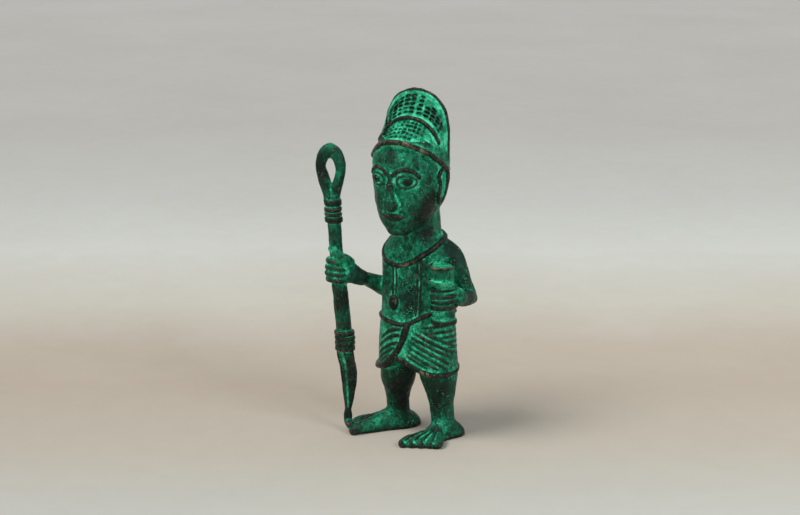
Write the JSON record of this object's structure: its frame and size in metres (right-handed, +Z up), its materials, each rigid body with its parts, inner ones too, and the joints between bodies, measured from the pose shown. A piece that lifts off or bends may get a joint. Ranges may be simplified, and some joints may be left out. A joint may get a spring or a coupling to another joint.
{
  "type": "standing figure",
  "caption": "Small cast bronze figure of a standing warrior in a tall latticed cap and wrapped skirt, holding a looped staff and a waisted drum.",
  "frame": {"origin": "middle of the bounding box, on the ground under the feet", "axes": "+Z up, the figure faces -Y and its own left is +X"},
  "size_m": [0.083, 0.0496, 0.1957],
  "materials": {
    "patinated_bronze": "green patina in the hollows, rubbed dark metal on the raised edges"
  },
  "bodies": {
    "root": {"warrior_figure": "patinated_bronze"}
  },
  "joints": []
}
